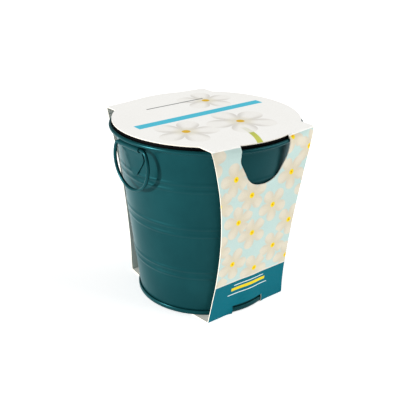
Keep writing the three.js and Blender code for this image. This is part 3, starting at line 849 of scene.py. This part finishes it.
def paper_surface(f, ground, coat):
    fibre = f.noise(f.place, 1500, 4, 0.6)
    sockets = {0: f.ramp(fibre, 0.3, 0.75, 0, 0.16), 6: ground, 7: colour(196, 192, 182)}
    worn = f.node("Mix", sockets, data_type="RGBA", blend_type="MULTIPLY").outputs[2]
    f.put(f.shader, {"Base_Color": worn, "Roughness": f.ramp(fibre, 0.3, 0.7, coat, coat + 0.12)})
    f.bump(fibre, 0.12, 0.06)
    return f.material


# %% Print of the two broad panels
SPACING, PETALS_R, LEAN = 25.0, 14.0, math.radians(38)
BAND_TOP, LINE_TOP, FOLD_WHITE = 31.5, 32.5, 144.7
PALE, YELLOW = (226, 240, 240), (230, 206, 40)
BAND_BARS = ((27.65, 15, 0.35, PALE), (24.0, 17, 1.4, YELLOW), (19.25, 20, 0.35, PALE))
BARS_X = -1.8


def side_print():
    f = Finish("sleeve_side_print", Specular_IOR_Level=0.04)
    mm = f.vector("MULTIPLY", f.place, (1000, 1000, 1000))
    x, _, z = f.parts(mm)
    flat = f.node("CombineXYZ", {0: x, 1: z}).outputs[0]
    leaning = f.node("VectorRotate", {"Vector": flat, "Angle": LEAN}).outputs[0]
    cells = f.node("TexVoronoi", {"Vector": leaning, "Scale": 1 / SPACING, "Randomness": 0.28},
                   voronoi_dimensions="2D")
    place = f.vector("SUBTRACT", leaning, cells.outputs["Position"])
    spin = f.math("MULTIPLY", cells.outputs["Color"], 6.3)
    mask, far, wave = blossom(f, place, PETALS_R, spin)
    ground = f.mix(f.noise(mm, 0.05, 2), colour(180, 204, 200), colour(191, 211, 206))
    petal = f.mix(f.ramp(wave, 0.45, 1.0), colour(204, 197, 180), colour(214, 207, 189))
    petal = f.mix(f.ramp(far, 2.0, 11.0), colour(207, 198, 175), petal)
    picture = f.mix(mask, ground, petal)
    picture = f.mix(f.ramp(far, 2.5, 1.9), picture, colour(232, 206, 30))
    picture = f.mix(f.ramp(far, 1.0, 0.5), picture, colour(214, 136, 20))
    picture = f.mix(f.ramp(z, LINE_TOP + 0.2, LINE_TOP - 0.2), picture, colour(220, 217, 206))
    teal = f.mix(f.noise(mm, 0.08, 3), colour(3, 99, 114), colour(8, 105, 120))
    picture = f.mix(f.ramp(z, BAND_TOP + 0.2, BAND_TOP - 0.2), picture, teal)
    for height, half_x, half_z, ink in BAND_BARS:
        mark = bar(f, x, z, (BARS_X, height), half_x, half_z)
        picture = f.mix(mark, picture, colour(*ink))
    picture = f.mix(f.ramp(z, FOLD_WHITE - 0.2, FOLD_WHITE + 0.2), picture, colour(246, 245, 241))
    return paper_surface(f, picture, 0.5)


# %% Print of the top
TOP_BLOSSOMS = ((-36, -22, 25, 0.4), (26, 34, 24, 1.3), (12, -26, 28, 2.1))
STEM_MIDDLE, STEM_R, STEM_HALF = (-74, -28, SLEEVE_H), 78, 2.2


def top_print():
    f = Finish("sleeve_top_print", Specular_IOR_Level=0.15)
    mm = f.vector("MULTIPLY", f.place, (1000, 1000, 1000))
    x, y, _ = f.parts(mm)
    picture = f.mix(f.noise(mm, 0.03, 2), colour(246, 245, 241), colour(250, 249, 246))
    way = f.vector("LENGTH", f.vector("SUBTRACT", mm, STEM_MIDDLE))
    stem = soft_line(f, f.math("SUBTRACT", way, STEM_R), STEM_HALF, 0.4)
    stem = f.math("MULTIPLY", stem, f.ramp(y, -36, -43))
    stalk = f.mix(f.ramp(y, -66, -24), colour(202, 206, 96), colour(120, 146, 62))
    picture = f.mix(stem, picture, stalk)
    for cx, cy, size, turn in TOP_BLOSSOMS:
        place = f.vector("SUBTRACT", mm, (cx, cy, SLEEVE_H))
        mask, far, wave = blossom(f, place, size, turn, 0.8)
        petal = f.mix(f.ramp(wave, 0.25, 0.95), colour(214, 210, 203), colour(243, 241, 236))
        petal = f.mix(f.ramp(far, size * 0.12, size * 0.5), colour(222, 216, 196), petal)
        picture = f.mix(f.math("MULTIPLY", mask, 0.8), picture, petal)
        picture = f.mix(f.ramp(far, 3.6, 2.8), picture, colour(222, 178, 48))
    picture = f.mix(bar(f, x, y, (0, 6), 60, 4.2, 0.2), picture, colour(80, 192, 216))
    picture = f.mix(bar(f, x, y, (0, 40.5), 28, 0.8, 0.2), picture, colour(118, 120, 119))
    return paper_surface(f, picture, 0.5)


# %% Uncoated inside and cut edge, then the thickness of the board
def board_inside():
    f = Finish("sleeve_board_inside", Specular_IOR_Level=0.2)
    cloud = f.noise(f.place, 160, 5, 0.7)
    return paper_surface(f, f.mix(cloud, colour(228, 226, 217), colour(240, 238, 230)), 0.75)


def board_edge():
    f = Finish("sleeve_board_edge", Specular_IOR_Level=0.2)
    layers = f.noise(f.stretched(1, 6, 1), 900, 4, 0.6)
    return paper_surface(f, f.mix(layers, colour(206, 200, 186), colour(222, 217, 205)), 0.8)


def thick_board(name, sheet, materials, inner_shift, rim_shift):
    """The sheet as a solid board: inside and edge take the material that many slots further on."""
    for material in materials:
        sheet.materials.append(material)
    flat = bpy.data.objects.new("flat_sheet", sheet)
    scene.collection.objects.link(flat)
    body = flat.modifiers.new("board", "SOLIDIFY")
    body.thickness, body.offset, body.use_even_offset = CARD * MM, -1, True
    body.material_offset, body.material_offset_rim = inner_shift, rim_shift
    thick = flat.evaluated_get(bpy.context.evaluated_depsgraph_get())
    solid = bpy.data.meshes.new_from_object(thick)
    bpy.data.objects.remove(flat)
    solid.name = name
    made = shown(name, solid, hard=50)
    made.modifiers.new("even_normals", "WEIGHTED_NORMAL").keep_sharp = True
    return made


SIDE, TOP, INSIDE, EDGE = side_print(), top_print(), board_inside(), board_edge()
BOARDS = [SIDE, TOP, INSIDE, INSIDE, INSIDE, INSIDE, EDGE, EDGE, EDGE]
card = thick_board("card_sleeve_board", sheet_mesh, BOARDS, 3, 6)
finish_piece(card, "kit", "sleeve_card", [], "card_sleeve")

# %% Glued lap: a second layer across the bottom panel, its corners cut at a slant
LAP_HALF, LAP_LENGTH, LAP_SLANT = 8, 74, 3
end = LAP_LENGTH / 2
lap_line = [(-end, -LAP_HALF), (end, -LAP_HALF),
            (end - LAP_SLANT, LAP_HALF), (LAP_SLANT - end, LAP_HALF)]
lap = bmesh.new()
add_panel(lap, lap_line, [-4, 0, 4], lambda x, y: (x, y, 2 * CARD), (0, 0, 1), 0)
lap_mesh = bpy.data.meshes.new("lap_sheet")
lap.to_mesh(lap_mesh)
lap.free()
strip = thick_board("sleeve_lap", lap_mesh, [INSIDE, INSIDE, EDGE], 1, 2)
finish_piece(strip, "kit", "sleeve_card", [])

# %% [markdown]
# ## Floor and light
# The photo is a pale studio shot: a light from behind on the left gives the bright line down the
# pail's left side and the ring's shadow on the wall, and white all round fills the rest. A wide
# white floor, one lamp, a weaker and much softer one from the front right, and a plain white sky
# do the same. The floor's paper glows a little, so that it comes out as pale as in the photo.

# %% Floor, lamp and sky
FLOOR, SKY = 4, 0.27
floor_mesh = bpy.data.meshes.new("floor")
corners = [(-FLOOR, -FLOOR, 0), (FLOOR, -FLOOR, 0), (FLOOR, FLOOR, 0), (-FLOOR, FLOOR, 0)]
floor_mesh.from_pydata(corners, [], [(0, 1, 2, 3)])
floor = bpy.data.objects.new("floor", floor_mesh)
scene.collection.objects.link(floor)
paper = Finish("floor_paper", Roughness=0.9, Specular_IOR_Level=0.1, Emission_Color=(1, 1, 1, 1),
               Emission_Strength=0.46)
tone = paper.mix(paper.noise(paper.place, 3, 2), colour(249, 249, 249), colour(252, 252, 252))
paper.put(paper.shader, {"Base_Color": tone})
floor_mesh.materials.append(paper.material)


def sun(name, towards, strength, softness):
    light = bpy.data.lights.new(name, "SUN")
    light.energy, light.angle = strength, math.radians(softness)
    made = bpy.data.objects.new(name, light)
    made.rotation_euler = Vector(towards).to_track_quat("Z", "Y").to_euler()
    scene.collection.objects.link(made)


sun("key", (-0.95, 0.22, 0.17), 5.8, 2)
sun("fill", (0.7, -0.55, 0.62), 2.42, 50)
sky = bpy.data.worlds.new("sky")
sky.use_nodes = True
white = sky.node_tree.nodes["Background"].inputs
white["Color"].default_value, white["Strength"].default_value = (1, 1, 1, 1), SKY
scene.world = sky
